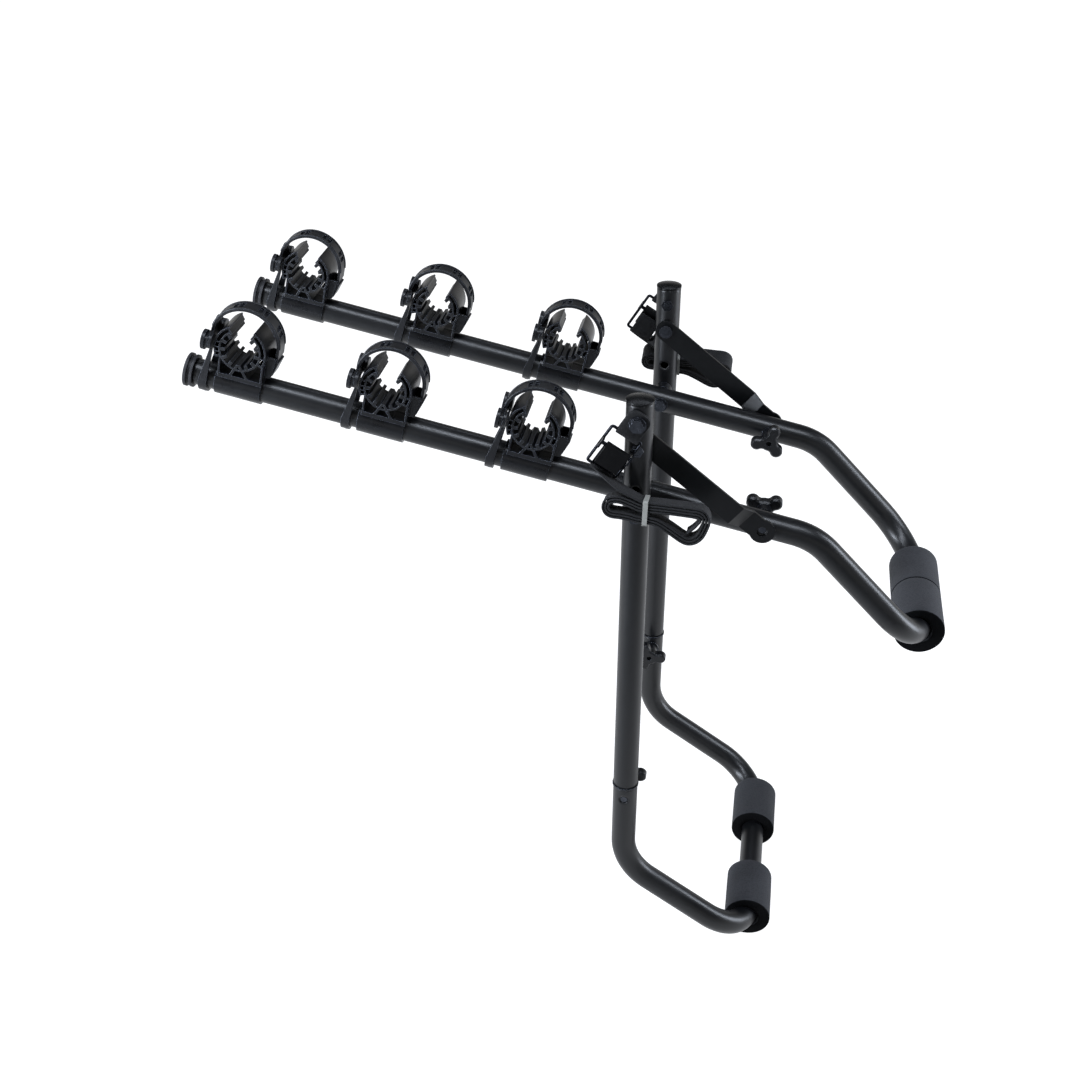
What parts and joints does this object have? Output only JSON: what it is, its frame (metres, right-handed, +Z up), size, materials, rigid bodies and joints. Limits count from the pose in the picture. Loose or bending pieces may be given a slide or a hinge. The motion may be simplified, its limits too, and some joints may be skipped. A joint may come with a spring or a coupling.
{
  "type": "bike carrier",
  "caption": "Boot-mounted bike carrier: folding tube frame with foam car pads and six ribbed cradles with rubber straps.",
  "frame": {"origin": "middle of the upper pad bar's axis, between the two arms, where the carrier leans on the car", "axes": "+X horizontally towards the car, the arm tips point to -X; +Y to the carrier's far arm, along the pad bars; +Z up"},
  "size_m": [0.8249, 0.41, 0.7921],
  "materials": {
    "black_paint": "satin",
    "foam": "matte",
    "soft_rubber": "matte",
    "cradle_plastic": "satin",
    "gloss_cap": "gloss",
    "dark_steel": "satin",
    "black_steel": "satin",
    "webbing": "matte",
    "tie": "satin"
  },
  "bodies": {
    "carrying_frame": {"arm_frame": "black_paint", "arm_plugs": "cradle_plastic", "upper_pads": "foam"},
    "stand": {"upright_near": "black_paint", "upright_far": "black_paint", "upright_caps": "gloss_cap", "leg_spigots": "black_steel", "foot_rings": "cradle_plastic", "lower_frame": "black_paint", "lower_pads": "foam", "pivot_bolts": "dark_steel", "pivot_spacers": "cradle_plastic", "lock_nuts": "dark_steel", "brace_bolts": "dark_steel", "strap_bolts": "dark_steel", "webbing_anchors": "webbing", "buckle_frames": "black_steel", "lead_near": "webbing", "lead_far": "webbing", "hank_near": "webbing", "hank_far": "webbing", "webbing_ties": "tie"},
    "brace_arm_near": {"brace_near": "black_paint"},
    "brace_arm_far": {"brace_far": "black_paint"},
    "arm_hand_knob_near": {"arm_knob_near": "cradle_plastic", "arm_stud_near": "dark_steel"},
    "leg_hand_knob_near": {"leg_knob_near": "cradle_plastic", "leg_stud_near": "dark_steel"},
    "arm_hand_knob_far": {"arm_knob_far": "cradle_plastic", "arm_stud_far": "dark_steel"},
    "leg_hand_knob_far": {"leg_knob_far": "cradle_plastic", "leg_stud_far": "dark_steel"},
    "cradle_unit_near_1": {"cradle_near_1": "cradle_plastic", "liner_near_1": "soft_rubber", "yoke_near_1": "soft_rubber"},
    "strap_unit_near_1": {"strap_near_1": "soft_rubber"},
    "cradle_unit_near_2": {"cradle_near_2": "cradle_plastic", "liner_near_2": "soft_rubber", "yoke_near_2": "soft_rubber"},
    "strap_unit_near_2": {"strap_near_2": "soft_rubber"},
    "cradle_unit_near_3": {"cradle_near_3": "cradle_plastic", "liner_near_3": "soft_rubber", "yoke_near_3": "soft_rubber"},
    "strap_unit_near_3": {"strap_near_3": "soft_rubber"},
    "cradle_unit_far_1": {"cradle_far_1": "cradle_plastic", "liner_far_1": "soft_rubber", "yoke_far_1": "soft_rubber"},
    "strap_unit_far_1": {"strap_far_1": "soft_rubber"},
    "cradle_unit_far_2": {"cradle_far_2": "cradle_plastic", "liner_far_2": "soft_rubber", "yoke_far_2": "soft_rubber"},
    "strap_unit_far_2": {"strap_far_2": "soft_rubber"},
    "cradle_unit_far_3": {"cradle_far_3": "cradle_plastic", "liner_far_3": "soft_rubber", "yoke_far_3": "soft_rubber"},
    "strap_unit_far_3": {"strap_far_3": "soft_rubber"},
    "buckle_lever_near": {"lever_near": "cradle_plastic"},
    "buckle_lever_far": {"lever_far": "cradle_plastic"}
  },
  "joints": [
    {"name": "stand_fold", "type": "hinge", "parent": "carrying_frame", "child": "stand", "pos_m": [-0.30893, 0, 0.16857], "axis": [0, 1, 0], "range_deg": [0, 90]},
    {"name": "brace_near_swing", "type": "hinge", "parent": "stand", "child": "brace_arm_near", "pos_m": [-0.30893, -0.138, 0.24457], "axis": [0, 1, 0], "range_deg": [0, 28.8]},
    {"name": "brace_far_swing", "type": "hinge", "parent": "stand", "child": "brace_arm_far", "pos_m": [-0.30893, 0.138, 0.24457], "axis": [0, 1, 0], "range_deg": [0, 28.8]},
    {"name": "arm_knob_near_turn", "type": "hinge", "parent": "carrying_frame", "child": "arm_hand_knob_near", "pos_m": [-0.17982, -0.112, 0.14112], "axis": [0, 1, 0], "continuous": true},
    {"name": "leg_knob_near_turn", "type": "hinge", "parent": "stand", "child": "leg_hand_knob_near", "pos_m": [-0.30893, -0.154, -0.20643], "axis": [0, 1, 0], "continuous": true},
    {"name": "arm_knob_far_turn", "type": "hinge", "parent": "carrying_frame", "child": "arm_hand_knob_far", "pos_m": [-0.17982, 0.112, 0.14112], "axis": [0, 1, 0], "continuous": true},
    {"name": "leg_knob_far_turn", "type": "hinge", "parent": "stand", "child": "leg_hand_knob_far", "pos_m": [-0.30893, 0.154, -0.20643], "axis": [0, 1, 0], "continuous": true},
    {"name": "cradle_near_1_slide", "type": "slide", "parent": "carrying_frame", "child": "cradle_unit_near_1", "axis": [-0.9781, 0, 0.2079], "range_m": [-0.02, 0]},
    {"name": "strap_near_1_open", "type": "hinge", "parent": "cradle_unit_near_1", "child": "strap_unit_near_1", "pos_m": [-0.70056, -0.112, 0.27638], "axis": [0, 1, 0], "range_deg": [0, 75], "deforming": ["strap_near_1"]},
    {"name": "cradle_near_2_slide", "type": "slide", "parent": "carrying_frame", "child": "cradle_unit_near_2", "axis": [-0.9781, 0, 0.2079], "range_m": [-0.02, 0.02]},
    {"name": "strap_near_2_open", "type": "hinge", "parent": "cradle_unit_near_2", "child": "strap_unit_near_2", "pos_m": [-0.54797, -0.112, 0.24394], "axis": [0, 1, 0], "range_deg": [0, 75], "deforming": ["strap_near_2"]},
    {"name": "cradle_near_3_slide", "type": "slide", "parent": "carrying_frame", "child": "cradle_unit_near_3", "axis": [-0.9781, 0, 0.2079], "range_m": [-0.02, 0.02]},
    {"name": "strap_near_3_open", "type": "hinge", "parent": "cradle_unit_near_3", "child": "strap_unit_near_3", "pos_m": [-0.3944, -0.112, 0.2113], "axis": [0, 1, 0], "range_deg": [0, 75], "deforming": ["strap_near_3"]},
    {"name": "cradle_far_1_slide", "type": "slide", "parent": "carrying_frame", "child": "cradle_unit_far_1", "axis": [-0.9781, 0, 0.2079], "range_m": [-0.02, 0]},
    {"name": "strap_far_1_open", "type": "hinge", "parent": "cradle_unit_far_1", "child": "strap_unit_far_1", "pos_m": [-0.70056, 0.112, 0.27638], "axis": [0, 1, 0], "range_deg": [0, 75], "deforming": ["strap_far_1"]},
    {"name": "cradle_far_2_slide", "type": "slide", "parent": "carrying_frame", "child": "cradle_unit_far_2", "axis": [-0.9781, 0, 0.2079], "range_m": [-0.02, 0.02]},
    {"name": "strap_far_2_open", "type": "hinge", "parent": "cradle_unit_far_2", "child": "strap_unit_far_2", "pos_m": [-0.54797, 0.112, 0.24394], "axis": [0, 1, 0], "range_deg": [0, 75], "deforming": ["strap_far_2"]},
    {"name": "cradle_far_3_slide", "type": "slide", "parent": "carrying_frame", "child": "cradle_unit_far_3", "axis": [-0.9781, 0, 0.2079], "range_m": [-0.02, 0.02]},
    {"name": "strap_far_3_open", "type": "hinge", "parent": "cradle_unit_far_3", "child": "strap_unit_far_3", "pos_m": [-0.3944, 0.112, 0.2113], "axis": [0, 1, 0], "range_deg": [0, 75], "deforming": ["strap_far_3"]},
    {"name": "lever_near_open", "type": "hinge", "parent": "stand", "child": "buckle_lever_near", "pos_m": [-0.3268, -0.178, 0.24664], "axis": [-0.8508, 0, 0.5255], "range_deg": [0, 50]},
    {"name": "lever_far_open", "type": "hinge", "parent": "stand", "child": "buckle_lever_far", "pos_m": [-0.3268, 0.178, 0.24664], "axis": [0.8508, 0, -0.5255], "range_deg": [0, 50]}
  ],
  "couplings": [
    {"joint": "brace_near_swing", "follows": "stand_fold", "ratio": 0.32},
    {"joint": "brace_far_swing", "follows": "stand_fold", "ratio": 0.32}
  ]
}
